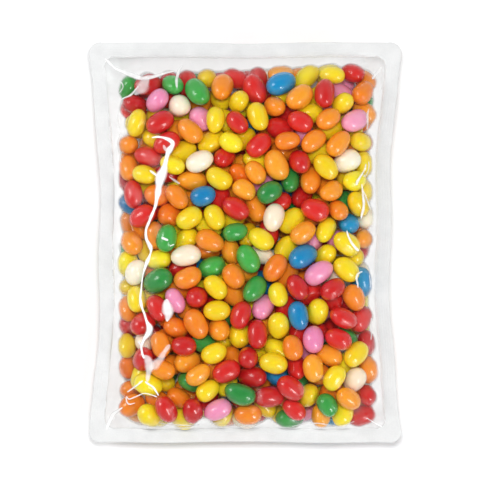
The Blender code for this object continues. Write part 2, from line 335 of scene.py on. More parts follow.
SHAPE_SEED = 11
shape_draw = np.random.default_rng(SHAPE_SEED)
shapes = [bean_points(*bean, shape_draw) for bean in zip(*beans)]
lengths = [np.ptp((s - m) @ a) for s, m, a in zip(shapes, beans[0], beans[1])]
print(f"beans are {1000 * min(lengths):.1f} to {1000 * max(lengths):.1f} mm long")

# %% [markdown]
# Seven colours of bean, mixed but never evenly: a real mix has patches with more of one colour. Each
# bean draws its colour like a ticket from a box that holds the right number of each, and near a patch
# the tickets of that patch's colour count for more. The beans against the upper film draw first, so
# that the shares are right where they are seen.

# %% Which bean gets which colour
SHARES = {"orange": 0.285, "yellow": 0.27, "red": 0.235, "green": 0.07, "white": 0.055, "pink": 0.045,
          "blue": 0.04}
PATCHES = (  # colour, middle in metres, reach, how much more likely
    ("yellow", (-0.070, 0.010), 0.030, 3.0),
    ("yellow", (0.065, -0.020), 0.022, 2.5),
    ("yellow", (-0.030, -0.100), 0.028, 2.2),
    ("red", (0.005, 0.090), 0.030, 2.5),
    ("red", (-0.055, -0.050), 0.024, 2.2),
    ("red", (0.060, -0.040), 0.026, 2.0),
    ("orange", (0.045, 0.060), 0.034, 2.2),
    ("orange", (-0.020, 0.010), 0.022, 1.8),
)
COLOUR_SEED = 5
LAST_TICKET = 1e-3  # so that the box is never empty
THINNEST = 0.05  # beside the weld the pocket has no height left to measure a bean's rise against


def draw_colours():
    """Every bean's colour, drawn from the top of the pouch down."""
    draw = np.random.default_rng(COLOUR_SEED)
    middle = beans[0]
    at_seal_level = middle.copy()
    at_seal_level[:, 2] = SEAL_LEVEL
    rise = (middle[:, 2] - SEAL_LEVEL) / np.sqrt(np.maximum(-lens(at_seal_level)[0], THINNEST))
    names = list(SHARES)
    left = np.array([SHARES[name] for name in names]) * BEAN_COUNT
    chosen = [""] * BEAN_COUNT
    for bean in np.argsort(-rise):
        weight = left.copy()
        for colour, place, size, gain in PATCHES:
            near = math.exp(-((middle[bean, :2] - place) ** 2).sum() / size**2)
            weight[names.index(colour)] *= 1 + (gain - 1) * near
        weight = np.maximum(weight, LAST_TICKET)
        pick = draw.choice(len(names), p=weight / weight.sum())
        left[pick] = max(left[pick] - 1, 0)
        chosen[bean] = names[pick]
    return chosen


colour_of = draw_colours()
print({name: colour_of.count(name) for name in SHARES})

# %% [markdown]
# The shell is panned sugar: coat upon coat of coloured syrup, dried hard while the beans tumble, then a
# skin of confectioner's glaze and wax, buffed by the beans rubbing on each other. To the eye that is a
# soft, even colour with a little depth to it, under a thin clear gloss. The shader follows the real
# layers: a satin base that lets some light in under its surface, and a clear coat on top. Sugar glaze and
# wax have an IOR near 1.45 to 1.5. A jelly bean's colour also differs from bean to bean, so each bean
# carries one random number, its tone, and the colour runs between two hex values by it.

# %% Panned sugar shell
SHELL_COLOURS = {
    "yellow": ("#F0C808", "#FBE81E"),
    "orange": ("#EE7410", "#FCAA26"),
    "red": ("#BE0F13", "#E42822"),
    "green": ("#1E853A", "#4AB44A"),
    "white": ("#FCE6CC", "#FFF6E0"),
    "pink": ("#E982B2", "#F7A4C2"),
    "blue": ("#007AB4", "#059ACF"),
}
MOTTLE_SIZE = 2.5 * MM
MOTTLE_SHARE = 0.5
PITTING_SIZE = 0.6 * MM
PITTING_DEPTH = 0.02 * MM


def panned_sugar_shell(colour):
    """Buffed sugar shell in one colour: glazed and waxed over a slightly translucent satin base."""
    dark, light = SHELL_COLOURS[colour]
    material, tree = blank_material(f"panned sugar shell, {colour}, waxed")
    place = add(tree, "ShaderNodeTexCoord").outputs["Object"]
    tone = add(tree, "ShaderNodeAttribute", attribute_name="tone").outputs["Fac"]
    mottle = add(tree, "ShaderNodeTexNoise", {"Vector": place, "Scale": 1 / MOTTLE_SIZE, "Detail": 2.0})
    drift = add(tree, "ShaderNodeMath", {0: mottle.outputs["Fac"], 1: MOTTLE_SHARE, 2: tone},
                operation="MULTIPLY_ADD")
    level = add(tree, "ShaderNodeMath", {0: drift.outputs[0], 1: MOTTLE_SHARE / 2}, operation="SUBTRACT",
                use_clamp=True)
    paint = add(tree, "ShaderNodeMix", {"Factor": level.outputs[0], 6: linear(dark), 7: linear(light)},
                data_type="RGBA")
    pits = add(tree, "ShaderNodeTexNoise", {"Vector": place, "Scale": 1 / PITTING_SIZE, "Detail": 1.0})
    bump = add(tree, "ShaderNodeBump", {"Height": pits.outputs["Fac"], "Distance": PITTING_DEPTH,
                                        "Strength": 0.5})
    shell = add(tree, "ShaderNodeBsdfPrincipled", {
        "Base Color": paint.outputs[2],
        "Roughness": 0.42,
        "IOR": 1.48,
        "Normal": bump.outputs["Normal"],
        "Subsurface Weight": 0.25,
        "Subsurface Radius": (1.0, 0.6, 0.35),
        "Subsurface Scale": 1.2 * MM,
        "Coat Weight": 1.0,
        "Coat Roughness": 0.11,
        "Coat IOR": 1.5,
    })
    add(tree, "ShaderNodeOutputMaterial", {"Surface": shell.outputs[0]})
    return material

# %% [markdown]
# All beans of one colour go into one mesh. Seven meshes are far quicker to handle than nearly five
# hundred, and each point keeps its own bean's tone, so the beans can still be told apart.

# %% Make one mesh for each colour of bean
TONE_SEED = 23
TONE_SPREAD = 0.24
tone_draw = np.random.default_rng(TONE_SEED)
tones = np.clip(tone_draw.normal(0.5, TONE_SPREAD, BEAN_COUNT), 0, 1)


def mesh_piece(name, points, faces, material, slot, attributes=None):
    """A smooth-shaded mesh object that rides on the part's one body, with numbers kept at its points."""
    mesh = bpy.data.meshes.new(name)
    mesh.from_pydata(points.tolist(), [], faces.tolist())
    mesh.shade_smooth()
    mesh.materials.append(material)
    for label, values in (attributes or {}).items():
        kept = mesh.attributes.new(label, "FLOAT", "POINT")
        kept.data.foreach_set("value", np.asarray(values, np.float32))
    piece = bpy.data.objects.new(name, mesh)
    bpy.context.scene.collection.objects.link(piece)
    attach(piece, "root")
    print(f"{name}: {2 * len(faces)} triangles")
    return piece


for colour in SHARES:
    mine = [k for k in range(BEAN_COUNT) if colour_of[k] == colour]
    points = np.concatenate([shapes[k] for k in mine])
    faces = np.concatenate([ball_faces + k * len(ball_points) for k in range(len(mine))])
    tone = np.repeat(tones[mine], len(ball_points))
    mesh_piece(f"{colour}_beans", points, faces, panned_sugar_shell(colour), f"{colour}_shell",
               {"tone": tone})

# %% [markdown]
# Film that is drawn over lumps behaves like a stretched soap skin: it rests on the highest points and
# spans the gaps between them as nearly flat sheets. That can be worked out on a grid. Each point moves to
# the average height of its four neighbours, unless a bean is in the way, again and again until hardly
# anything moves. Cloth simulation would get there too, with thousands of collisions at every step.

# %% How high the beans stand
HEIGHT_CELL = 0.4 * MM
BALLS_PER_BEAN = 7
NO_BEAN = -1.0  # in metres: far below every bean


def bean_heights(side):
    """(xs, ys, height): the beans' outermost height over a fine grid, up for side 1 and down for -1."""
    xs = np.arange(-BAG_WIDTH / 2, BAG_WIDTH / 2 + HEIGHT_CELL, HEIGHT_CELL)
    ys = np.arange(-BAG_HEIGHT / 2, BAG_HEIGHT / 2 + HEIGHT_CELL, HEIGHT_CELL)
    height = np.full((len(xs), len(ys)), NO_BEAN)
    for middle, axis, radius, half in zip(*beans):
        for step in np.linspace(-1, 1, BALLS_PER_BEAN):
            ball = middle + axis * (half * step)
            out = radius + FILM_GAP
            i = slice(*np.searchsorted(xs, [ball[0] - out, ball[0] + out]))
            j = slice(*np.searchsorted(ys, [ball[1] - out, ball[1] + out]))
            off = (xs[i, None] - ball[0]) ** 2 + (ys[None, j] - ball[1]) ** 2
            top = side * ball[2] + np.sqrt(np.maximum(out**2 - off, 0))
            height[i, j] = np.maximum(height[i, j], np.where(off < out**2, top, NO_BEAN))
    return xs, ys, height


def sampled(grid, xs, ys, x, y):
    """The grid's height at any point, by straight blends between its four neighbours."""
    i = np.clip((x - xs[0]) / (xs[1] - xs[0]), 0, len(xs) - 2)
    j = np.clip((y - ys[0]) / (ys[1] - ys[0]), 0, len(ys) - 2)
    a, b = i.astype(int), j.astype(int)
    s, t = i - a, j - b
    low = grid[a, b] * (1 - s) + grid[a + 1, b] * s
    high = grid[a, b + 1] * (1 - s) + grid[a + 1, b + 1] * s
    return low * (1 - t) + high * t

# %% Stretch the film
TUCK = 0.6 * MM
FILM_INSET = SEAL_WIDTH - TUCK  # the film's edge is tucked a little way into the seal
SETTLING_ROUNDS = 500
OVERSHOOT = 1.6  # each point moves further than it should at once, which settles the sheet sooner


def film_places(columns, rows):
    """The x and y of a sheet's points, from seal to seal."""
    u, v = np.meshgrid(np.linspace(-1, 1, columns + 1), np.linspace(-1, 1, rows + 1), indexing="ij")
    x = u * (half_width(v * (BAG_HEIGHT / 2 - FILM_INSET)) - FILM_INSET)
    return x, v * (half_height(x) - FILM_INSET)


def drape(x, y, side, pull):
    """The sheet's height: held by the seal, never inside a bean, and sucked in a little by `pull`."""
    pocket = in_pocket(x, y)
    pocket[[0, -1], :] = False
    pocket[:, [0, -1]] = False
    seal = side * seal_level(x, y)
    xs, ys, standing = bean_heights(side)
    under = np.where(pocket, sampled(standing, xs, ys, x, y), NO_BEAN)
    table = math.inf if side > 0 else 0.0  # only the back film meets the table
    height = np.where(pocket, np.maximum(under, seal), seal)
    white = (np.add.outer(np.arange(x.shape[0]), np.arange(x.shape[1])) % 2).astype(bool)
    # Like the squares of a chessboard: first all the white points move, then all the black ones
    for _ in range(SETTLING_ROUNDS):
        for part in (white, ~white):
            around = np.zeros_like(height)
            around[1:-1, 1:-1] = (
                height[:-2, 1:-1] + height[2:, 1:-1] + height[1:-1, :-2] + height[1:-1, 2:]
            ) / 4 - pull
            eased = height + OVERSHOOT * (around - height)
            eased = np.minimum(np.maximum(eased, under), table)
            height = np.where(pocket & part, eased, height)
    return side * height


FILM_COLUMNS = 240
FILM_ROWS = 330
FRONT_PULL = 0.002 * MM
front_x, front_y = film_places(FILM_COLUMNS, FILM_ROWS)
front_z = drape(front_x, front_y, 1, FRONT_PULL)
print(f"the front film rises to {1000 * front_z.max():.1f} mm")

# %% [markdown]
# Along the weld the film goes from a flat border to a bulging pocket, and it has too much length to do
# that smoothly. The spare length goes into puckers: small folds that stand at right angles to the weld and
# fade out where the beans hold the film tight. Each is a ridge along a short line, and a loop sets them
# at uneven steps round the pocket.

# %% Puckers along the weld
PUCKER_STEP = (4 * MM, 13 * MM)
PUCKER_LENGTH = (5 * MM, 15 * MM)
PUCKER_HEIGHT = (0.15 * MM, 0.5 * MM)
PUCKER_HALF_WIDTH = (0.9 * MM, 1.8 * MM)
PUCKER_LEAN = 0.25
FOLD_SEED = 31
fold_draw = np.random.default_rng(FOLD_SEED)


def pucker_lines(draw):
    """Short lines from the weld inwards, at uneven steps along all four sides: (start, end) pairs."""
    lines = []
    for end in (-1, 1):
        for place, half, edge in (("side", BAG_HEIGHT / 2, half_width), ("end", BAG_WIDTH / 2, half_height)):
            along = -half + 2 * SEAL_WIDTH
            while along < half - 2 * SEAL_WIDTH:
                inwards = draw.uniform(*PUCKER_LENGTH)
                lean = draw.normal(0, PUCKER_LEAN) * inwards
                out = edge(along) - SEAL_WIDTH
                line = ((end * out, along), (end * (out - inwards), along + lean))
                lines.append(line if place == "side" else tuple((b, a) for a, b in line))
                along += draw.uniform(*PUCKER_STEP)
    return lines


def ridge_along(x, y, line, tall, wide):
    """How far a fold lifts the film: a rounded ridge along the line that fades out at its inner end."""
    (ax, ay), (bx, by) = line
    along = ((x - ax) * (bx - ax) + (y - ay) * (by - ay)) / ((bx - ax) ** 2 + (by - ay) ** 2)
    along = np.clip(along, 0, 1)
    off = np.hypot(x - ax - along * (bx - ax), y - ay - along * (by - ay))
    return tall * (1 - along**2) * np.exp(-((off / wide) ** 2))


lines = pucker_lines(fold_draw)
for line in lines:
    front_z = front_z + ridge_along(front_x, front_y, line, fold_draw.uniform(*PUCKER_HEIGHT),
                                    fold_draw.uniform(*PUCKER_HALF_WIDTH))
print(f"{len(lines)} puckers")

# %% [markdown]
# The film is cast polypropylene or a like plastic, a tenth of a millimetre thick, with an IOR of 1.5. It
# is far too thin to bend light, so its shader isn't glass: it lets nearly all that is behind it straight
# through and adds a mirror-like gloss. The IOR gives 4 per cent of gloss head on, and more where the film
# turns away, by Schlick's fifth power. Here it starts from 1.5 per cent, as if seen through a polarising
# filter, because the photo shows hardly any lamp mirrored in the film over the beans. Blender's Fresnel
# node would count light that leaves the pouch as inside solid plastic, where a slanting ray can't get
# out, and the beans would go dark. So the power is built from Layer Weight's Facing, which is the same
# from both sides.

# %% Cast clear film
FILM_WRINKLE = 6 * MM
FILM_WRINKLE_DEPTH = 0.12 * MM
HEAD_ON_GLOSS = 0.015


def cast_clear_film():
    """Thin clear plastic film: see-through head on, glossy where it turns away."""
    material, tree = blank_material("cast polypropylene film, clear")
    place = add(tree, "ShaderNodeTexCoord").outputs["Object"]
    wrinkle = add(tree, "ShaderNodeTexNoise", {"Vector": place, "Scale": 1 / FILM_WRINKLE, "Detail": 2.0})
    bump = add(tree, "ShaderNodeBump", {"Height": wrinkle.outputs["Fac"], "Distance": FILM_WRINKLE_DEPTH,
                                        "Strength": 0.5})
    turned = add(tree, "ShaderNodeLayerWeight", {"Blend": 0.5, "Normal": bump.outputs["Normal"]})
    fifth = add(tree, "ShaderNodeMath", {0: turned.outputs["Facing"], 1: 5.0}, operation="POWER")
    mirrored = add(tree, "ShaderNodeMath", {0: fifth.outputs[0], 1: 1 - HEAD_ON_GLOSS, 2: HEAD_ON_GLOSS},
                   operation="MULTIPLY_ADD")
    clear = add(tree, "ShaderNodeBsdfTransparent", {"Color": linear("#F7F8F8")})
    gloss = add(tree, "ShaderNodeBsdfGlossy", {"Color": (1, 1, 1, 1), "Roughness": 0.2,
                                               "Normal": bump.outputs["Normal"]})
    sheet = add(tree, "ShaderNodeMixShader", {0: mirrored.outputs[0], 1: clear.outputs[0],
                                              2: gloss.outputs[0]})
    add(tree, "ShaderNodeOutputMaterial", {"Surface": sheet.outputs[0]})
    return material


def sheet_faces(columns, rows, up=True):
    """The squares of a sheet of (columns + 1) by (rows + 1) points, facing up or down."""
    corner = (np.arange(columns)[:, None] * (rows + 1) + np.arange(rows)[None]).ravel()
    faces = np.stack([corner, corner + rows + 1, corner + rows + 2, corner + 1], axis=1)
    return faces if up else faces[:, ::-1]


film = cast_clear_film()
front = mesh_piece("front_film", np.stack([front_x, front_y, front_z], axis=-1).reshape(-1, 3),
                   sheet_faces(FILM_COLUMNS, FILM_ROWS), film, "bag_film")
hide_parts(POUCH)

# %% [markdown]
# The back film is the same sheet turned upside down: it hangs under the beans and lies flat where the
# table holds it. Little of it is ever seen, so it gets fewer squares and no puckers.

# %% The back film
BACK_COLUMNS = 140
BACK_ROWS = 190
back_x, back_y = film_places(BACK_COLUMNS, BACK_ROWS)
back_z = drape(back_x, back_y, -1, 0.0)
mesh_piece("back_film", np.stack([back_x, back_y, back_z], axis=-1).reshape(-1, 3),
           sheet_faces(BACK_COLUMNS, BACK_ROWS, up=False), film, "bag_film")
print(f"its lowest point is at {1000 * back_z.min():.2f} mm")

# %% [markdown]
# Real film has creases. Where it was folded in packing, or is pinched between two beans, it stands up in a
# narrow crest that catches every lamp. From above a crease reads as a white streak that swells and
# narrows: the lamps mirrored in the crest. Here that streak is a painted highlight. Painting it on the film
# would need a far finer mesh, so each crease is a ribbon of its own that follows the film a hair above it,
# arched across its width, in a soft white that stands for the mirrored lamps. A few ribbons are painted
# glints on beans under the film. One number at each point says how solid the white is, so that the edges
# stay soft. Nobody could work out by a rule where a bag creases, so the places and widths are a given
# list, in millimetres.

# %% Where the creases run
# Each ribbon is a painted highlight along a crease, and a few are painted glints on beans.
CREASE_HIGHLIGHTS = (  # (across, up and half width in mm, from end to end), how white
    (((-55.8, 62.4, 0.4), (-52.3, 62.9, 0.7), (-48.6, 62.4, 1.0), (-44.9, 61.0, 1.4), (-42.8, 59.4, 1.7),
      (-43.1, 57.5, 1.4), (-45.4, 54.3, 2.4), (-46.5, 50.5, 1.4), (-47.6, 45.9, 2.0),
      (-48.6, 42.2, 2.8), (-50.0, 39.6, 4.0), (-50.8, 36.6, 3.1), (-51.3, 32.9, 2.7),
      (-51.8, 29.2, 2.3), (-52.6, 25.9, 1.3), (-53.0, 22.7, 1.1), (-54.1, 19.4, 1.0),
      (-55.8, 15.7, 1.2), (-57.1, 12.2, 1.1), (-58.9, 8.4, 0.8), (-59.2, 5.2, 0.9), (-58.8, 1.9, 1.1),
      (-57.5, -0.4, 1.6), (-56.2, -2.8, 1.7), (-55.9, -5.1, 0.8), (-56.6, -7.4, 0.6),
      (-57.5, -9.7, 1.2), (-58.6, -12.0, 1.5), (-59.4, -14.4, 0.9), (-60.5, -17.6, 0.6),
      (-61.2, -20.9, 0.5), (-61.6, -24.6, 0.5), (-61.9, -28.3, 0.6), (-62.5, -32.5, 0.9),
      (-62.1, -36.2, 1.3), (-61.2, -39.4, 0.9), (-59.8, -42.7, 0.8), (-58.9, -46.0, 0.9),
      (-57.9, -48.3, 1.3), (-56.6, -50.8, 2.6), (-57.0, -52.9, 2.9), (-58.2, -55.0, 1.8),
      (-60.0, -57.3, 1.2), (-62.0, -61.5, 0.9), (-61.7, -63.6, 0.8), (-60.9, -66.9, 0.8),
      (-59.7, -69.3, 1.0)), 1.0),
    (((-48.6, 58.2, 0.8), (-47.7, 56.1, 1.2), (-46.2, 54.0, 1.4)), 0.45),
    (((-64.0, -58.8, 0.5), (-62.0, -61.5, 0.8)), 0.8),
    (((-60.2, -66.8, 0.8), (-58.0, -69.2, 2.6), (-56.6, -73.0, 3.8), (-57.5, -77.6, 2.2),
      (-58.0, -81.2, 1.5), (-58.3, -83.2, 0.6)), 0.6),
    (((-57.6, -75.4, 1.6), (-54.0, -73.2, 3.2), (-50.6, -69.9, 2.7), (-48.2, -65.5, 1.9),
      (-44.5, -60.4, 1.3)), 0.45),
    (((-60.6, -82.0, 0.7), (-64.3, -85.0, 0.7), (-68.2, -88.0, 0.6), (-71.0, -90.0, 0.5)), 0.75),
    (((-59.8, -82.6, 0.6), (-57.1, -84.6, 0.8), (-54.5, -86.2, 0.9), (-52.9, -88.8, 0.6),
      (-51.3, -91.4, 0.6)), 0.95),
    (((-52.1, -92.0, 0.5), (-57.1, -90.4, 0.45), (-60.5, -89.8, 0.4), (-64.0, -91.6, 0.5),
      (-69.8, -94.3, 0.5), (-71.5, -92.1, 0.4)), 0.8),
    (((-71.6, -92.6, 0.5), (-71.0, -96.4, 0.6), (-69.5, -97.3, 0.6), (-65.6, -96.0, 0.3)), 0.75),
    (((-46.3, -33.2, 1.4), (-46.6, -35.3, 2.8), (-46.3, -38.1, 3.6), (-45.7, -41.1, 4.1),
      (-45.6, -43.4, 3.2), (-46.2, -45.7, 2.0), (-46.3, -47.3, 0.9)), 0.8),
    (((-49.9, 3.0, 0.7), (-47.5, 2.1, 1.0), (-45.2, 1.2, 0.8)), 0.9),
    (((-44.9, -2.3, 0.5), (-41.8, -0.9, 0.4)), 0.8),
    (((-57.0, 43.1, 0.4), (-55.3, 42.0, 0.9), (-53.6, 40.6, 0.8), (-51.8, 39.4, 0.8)), 0.85),
    (((-45.4, 39.4, 0.4), (-42.0, 37.0, 0.9), (-38.4, 34.7, 0.6)), 0.4),
    (((-85.5, 112.2, 0.8), (-82.5, 109.3, 0.9), (-78.8, 105.6, 1.0), (-73.0, 103.0, 1.3),
      (-67.2, 100.5, 2.0), (-62.1, 98.4, 1.9), (-55.6, 99.3, 1.4), (-48.7, 101.6, 1.0),
      (-41.7, 103.3, 0.6)), 0.8),
    (((-63.5, 94.2, 0.4), (-65.4, 92.1, 0.5), (-67.7, 89.3, 0.8), (-69.6, 87.9, 0.8), (-72.4, 87.2, 0.6),
      (-74.7, 85.9, 0.4)), 0.75),
    (((-57.5, 99.0, 1.5), (-60.0, 95.8, 4.2), (-62.3, 92.0, 4.4), (-66.5, 88.6, 1.8)), 0.45),
    (((-76.5, 98.1, 0.4), (-74.2, 96.3, 0.5), (-73.3, 94.0, 0.5), (-74.7, 91.6, 0.5),
      (-75.8, 90.2, 0.4)), 0.55),
    (((82.9, 106.6, 0.4), (79.8, 102.7, 1.0), (76.4, 98.2, 1.1)), 0.75),
    (((83.2, 106.4, 0.3), (84.1, 99.1, 0.4), (82.9, 92.4, 0.3)), 0.4),
    (((74.5, 80.6, 0.6), (73.1, 76.4, 1.0), (73.6, 71.8, 0.8), (73.1, 67.6, 0.4)), 0.55),
    (((72.7, 47.6, 0.3), (72.3, 44.9, 0.7), (70.4, 41.4, 0.6), (68.4, 38.7, 0.9), (66.8, 36.0, 1.1),
      (66.5, 33.7, 0.5)), 0.8),
    (((74.2, 49.1, 0.4), (74.8, 46.5, 0.5), (74.2, 43.4, 0.5), (72.7, 40.3, 0.4), (70.4, 39.5, 0.5)), 0.6),
    (((69.7, 35.2, 0.3), (70.4, 31.4, 0.7), (70.7, 27.5, 1.0), (71.1, 23.6, 1.1), (70.9, 19.8, 1.0),
      (69.9, 16.7, 0.9), (69.6, 13.9, 0.5)), 0.85),
    (((70.7, 31.4, 0.4), (72.7, 26.7, 0.7), (74.6, 21.7, 0.6), (75.8, 19.0, 0.3)), 0.6),
    (((60.6, 7.4, 0.5), (61.4, 4.0, 0.8), (63.0, 0.5, 0.8), (65.0, -2.2, 1.0), (66.8, -4.2, 1.3),
      (68.4, -5.1, 0.7)), 0.9),
    (((70.7, -17.3, 0.4), (68.4, -17.8, 0.7), (66.8, -19.3, 0.8), (66.5, -21.6, 0.9), (67.3, -24.3, 0.8),
      (67.6, -27.4, 0.4)), 0.8),
    (((74.8, -19.3, 0.4), (75.4, -23.5, 0.6), (75.8, -27.4, 0.3)), 0.6),
    (((73.2, -105.7, 0.35), (78.7, -109.4, 0.45), (84.6, -112.5, 0.4)), 0.8),
    (((50.9, -111.5, 0.3), (58.0, -110.3, 0.4), (66.3, -107.3, 0.3)), 0.5),
    (((-37.5, 107.5, 0.5), (-40.0, 103.0, 1.3), (-41.0, 97.0, 1.2), (-40.6, 92.0, 0.5)), 0.7),
    (((-76.3, 80.0, 0.4), (-76.8, 74.0, 0.6), (-75.8, 68.5, 0.4)), 0.65),
    (((-75.5, 66.0, 0.4), (-76.5, 60.5, 0.9), (-75.8, 54.0, 0.9), (-74.5, 48.0, 0.5)), 0.55),
    (((76.0, -45.0, 0.4), (76.6, -52.0, 0.7), (75.8, -59.0, 0.4)), 0.55),
    (((-52.0, -107.8, 0.3), (-45.0, -109.3, 0.6), (-36.0, -109.8, 0.6), (-27.0, -109.6, 0.4)), 0.6),
    (((27.9, -111.1, 0.3), (36.0, -108.9, 0.5), (44.6, -108.6, 0.5), (52.0, -110.2, 0.4)), 0.6),
    (((-73.5, -99.0, 0.5), (-79.9, -104.0, 1.5), (-83.0, -110.5, 1.6), (-84.3, -114.0, 0.9)), 0.8),
)


def film_height(x, y):
    """The front film's height at any point, read between its own grid lines."""
    v = y / (half_height(x) - FILM_INSET)
    u = x / (half_width(v * (BAG_HEIGHT / 2 - FILM_INSET)) - FILM_INSET)
    return sampled(front_z, np.linspace(-1, 1, FILM_COLUMNS + 1), np.linspace(-1, 1, FILM_ROWS + 1), u, v)

# %% Make the ribbons
RIBBON_STEP = 0.5 * MM
RIBBON_CELLS = 10
RIBBON_ABOVE = 0.2 * MM
RIBBON_ARCH = 0.2
RAGGED = 0.07
RAGGED_WAVES = (1.1 * MM, 2.9 * MM)
PATCHY = 0.1
ROUND_OFF = 5  # how many neighbours are averaged to round the path's bends off
TIP = 1.2  # how long a rounded end is, in half widths
BLUNT = 0.03  # no end narrows to nothing, or its squares would close up
FEWEST_STEPS = 8
SOFT_EDGE = 1.3


def crease_highlight_ribbon(places, white, draw):
    """(points, whiteness) of a ribbon through the places, with slightly ragged edges and rounded ends."""
    places = np.array(places) * MM
    gone = np.concatenate([[0], np.cumsum(np.linalg.norm(np.diff(places[:, :2], axis=0), axis=1))])
    run = np.linspace(0, gone[-1], max(round(gone[-1] / RIBBON_STEP), FEWEST_STEPS) + 1)
    rows = [np.pad(np.interp(run, gone, places[:, k]), ROUND_OFF // 2, "edge") for k in range(3)]
    path_x, path_y, half = (np.convolve(row, np.ones(ROUND_OFF) / ROUND_OFF, "valid") for row in rows)
    ahead = np.gradient(np.stack([path_x, path_y], axis=1), axis=0)
    ahead /= np.linalg.norm(ahead, axis=1)[:, None]
    phase = draw.uniform(0, 2 * math.pi, 2)
    ragged = sum(np.sin(run / wave + offset) for wave, offset in zip(RAGGED_WAVES, phase))
    tip = np.sqrt(np.clip(np.minimum(run, gone[-1] - run) / (TIP * half), BLUNT, 1))
    half = half * tip * (1 + RAGGED * ragged)
    across = np.linspace(-1, 1, RIBBON_CELLS + 1)
    x = path_x[:, None] - ahead[:, 1, None] * half[:, None] * across
    y = path_y[:, None] + ahead[:, 0, None] * half[:, None] * across
    z = film_height(x, y) + RIBBON_ABOVE + RIBBON_ARCH * half[:, None] * (1 - across**2)
    solid = np.clip(2 * (1 - np.abs(across)), 0, 1) ** SOFT_EDGE
    whiteness = white * (1 - PATCHY * np.abs(ragged))[:, None] * solid
    return np.stack([x, y, z], axis=-1).reshape(-1, 3), whiteness.ravel()


def milky_film_and_painted_highlight(name, head_on):
    """A soft white with a plastic gloss on it, as solid as the whiteness at each point. It makes the haze at
    the weld, which is partly painted light, and the painted highlights along the creases. Only the share
    `head_on` is seen from straight in front, and more where the film turns away."""
    material, tree = blank_material(name)
    whiteness = add(tree, "ShaderNodeAttribute", attribute_name="whiteness").outputs["Fac"]
    turned = add(tree, "ShaderNodeLayerWeight", {"Blend": 0.5}).outputs["Facing"]
    share = add(tree, "ShaderNodeMath", {0: turned, 1: head_on}, operation="ADD", use_clamp=True)
    solid = add(tree, "ShaderNodeMath", {0: whiteness, 1: share.outputs[0]}, operation="MULTIPLY")
    milky = add(tree, "ShaderNodeBsdfPrincipled", {"Base Color": linear("#FFFFFF"), "Roughness": 0.3,
                                                   "IOR": 1.5, "Alpha": solid.outputs[0]})
    add(tree, "ShaderNodeOutputMaterial", {"Surface": milky.outputs[0]})
    return material


ribbon_points, ribbon_faces, ribbon_white = [], [], []
start = 0
for places, white in CREASE_HIGHLIGHTS:
    points, whiteness = crease_highlight_ribbon(places, white, fold_draw)
    ribbon_points.append(points)
    ribbon_white.append(whiteness)
    ribbon_faces.append(sheet_faces(len(points) // (RIBBON_CELLS + 1) - 1, RIBBON_CELLS) + start)
    start += len(points)
# The creases' white is painted: it stands for the lamps mirrored in the film's crests.
mesh_piece("film_crease_highlights", np.concatenate(ribbon_points), np.concatenate(ribbon_faces),
           milky_film_and_painted_highlight("polypropylene film, painted highlights along creases", 1.0), "bag_film",
           {"whiteness": np.concatenate(ribbon_white)})
print(f"{len(CREASE_HIGHLIGHTS)} creases")

# %% [markdown]
# Two pieces run all the way round the pouch: a band of haze and the weld itself. Both are made of closed
# loops of points that follow the outline at growing depth inside it, each joined to the next by a row of
# squares. So one function makes a loop, and one more joins them.

# %% Loops that follow the outline
STEP_ROUND = 1.6 * MM
CORNER_STEPS = 8


def outline_loop(depth):
    """The points of a closed loop at a depth inside the outline, with its own round corners."""
    radius = CORNER_RADIUS + (POCKET_CORNER_RADIUS - CORNER_RADIUS) * depth / SEAL_WIDTH
    tall = BAG_HEIGHT / 2 - depth
    wide = half_width(tall - radius) - depth
    across = np.linspace(-1, 1, round(BAG_WIDTH / STEP_ROUND))[1:-1] * (wide - radius)
    along = np.linspace(-1, 1, round(BAG_HEIGHT / STEP_ROUND))[1:-1] * (tall - radius)
    side, end = half_width(along) - depth, half_height(across) - depth
    quarter = np.linspace(0, math.pi / 2, CORNER_STEPS)
    corner_x = wide - radius + radius * np.sin(quarter)
    corner_y = radius * (1 - np.cos(quarter)) - tall
    parts = [
        (across, -end),
        (corner_x, corner_y),
        (side, along),
        (corner_x[::-1], -corner_y[::-1]),
        (across[::-1], end[::-1]),
        (-corner_x, -corner_y),
        (-side, -along),
        (-corner_x[::-1], corner_y[::-1]),
    ]
    return np.concatenate([x for x, _ in parts]), np.concatenate([y for _, y in parts])


def loop_faces(loops, count, closed=False):
    """Squares from each loop of count points to the next, and from the last to the first if closed."""
    here = np.arange(count)
    following = (here + 1) % count
    pairs = [(k * count, (k + 1) % loops * count) for k in range(loops if closed else loops - 1)]
    return np.concatenate([np.stack([low + here, low + following, high + following, high + here], axis=1)
                           for low, high in pairs])

print(f"a loop has {len(outline_loop(0.0)[0])} points")

# %% [markdown]
# Between the weld and the beans the film hangs free. It was heated there and it has fine wrinkles, so it
# scatters light and looks milky. Where a bean presses it smooth it is clear again. So the haze is a band
# just above the front film, made of loops that step inwards from the weld. It stays milky from loop to
# loop until a bean lies under it, and then fades within a millimetre or two. The band is partly painted
# light: its white also stands for the film mirroring the white surroundings at the steep flanks, and it
# covers the shade that falls in the strip beside the weld and on the rims of the beans there. A slanting
# view goes through more of the milky film than a straight one, so Layer Weight's Facing is added to the
# share of haze that is seen head on. From above the steep flanks look white, and from the side they let
# the beans through.

# %% The haze between weld and beans
HAZE_DEPTHS = (8.3 * MM, 32 * MM)
HAZE_STEP = 0.5 * MM
HAZE_END = 12 * MM
HAZE_AT_WELD = 0.95
HAZE_HEAD_ON = 0.3
HAZE_LEFT_ON_BEAN = 0.45  # from one loop to the next
COVER_ROUNDS = 12
HAZY_RIM = 0.8  # how full the cover is where the haze begins to fade


def cover_of_beans():
    """(xs, ys, cover) over a fine grid: 0 outside the beans and on their rims, and 1 further in."""
    xs, ys, standing = bean_heights(1)
    cover = (standing > 0).astype(float)
    for _ in range(COVER_ROUNDS):
        cover[1:-1, 1:-1] = (cover[:-2, 1:-1] + cover[2:, 1:-1] + cover[1:-1, :-2] + cover[1:-1, 2:]) / 4
    return xs, ys, np.clip((cover - HAZY_RIM) / (1 - HAZY_RIM), 0, 1)


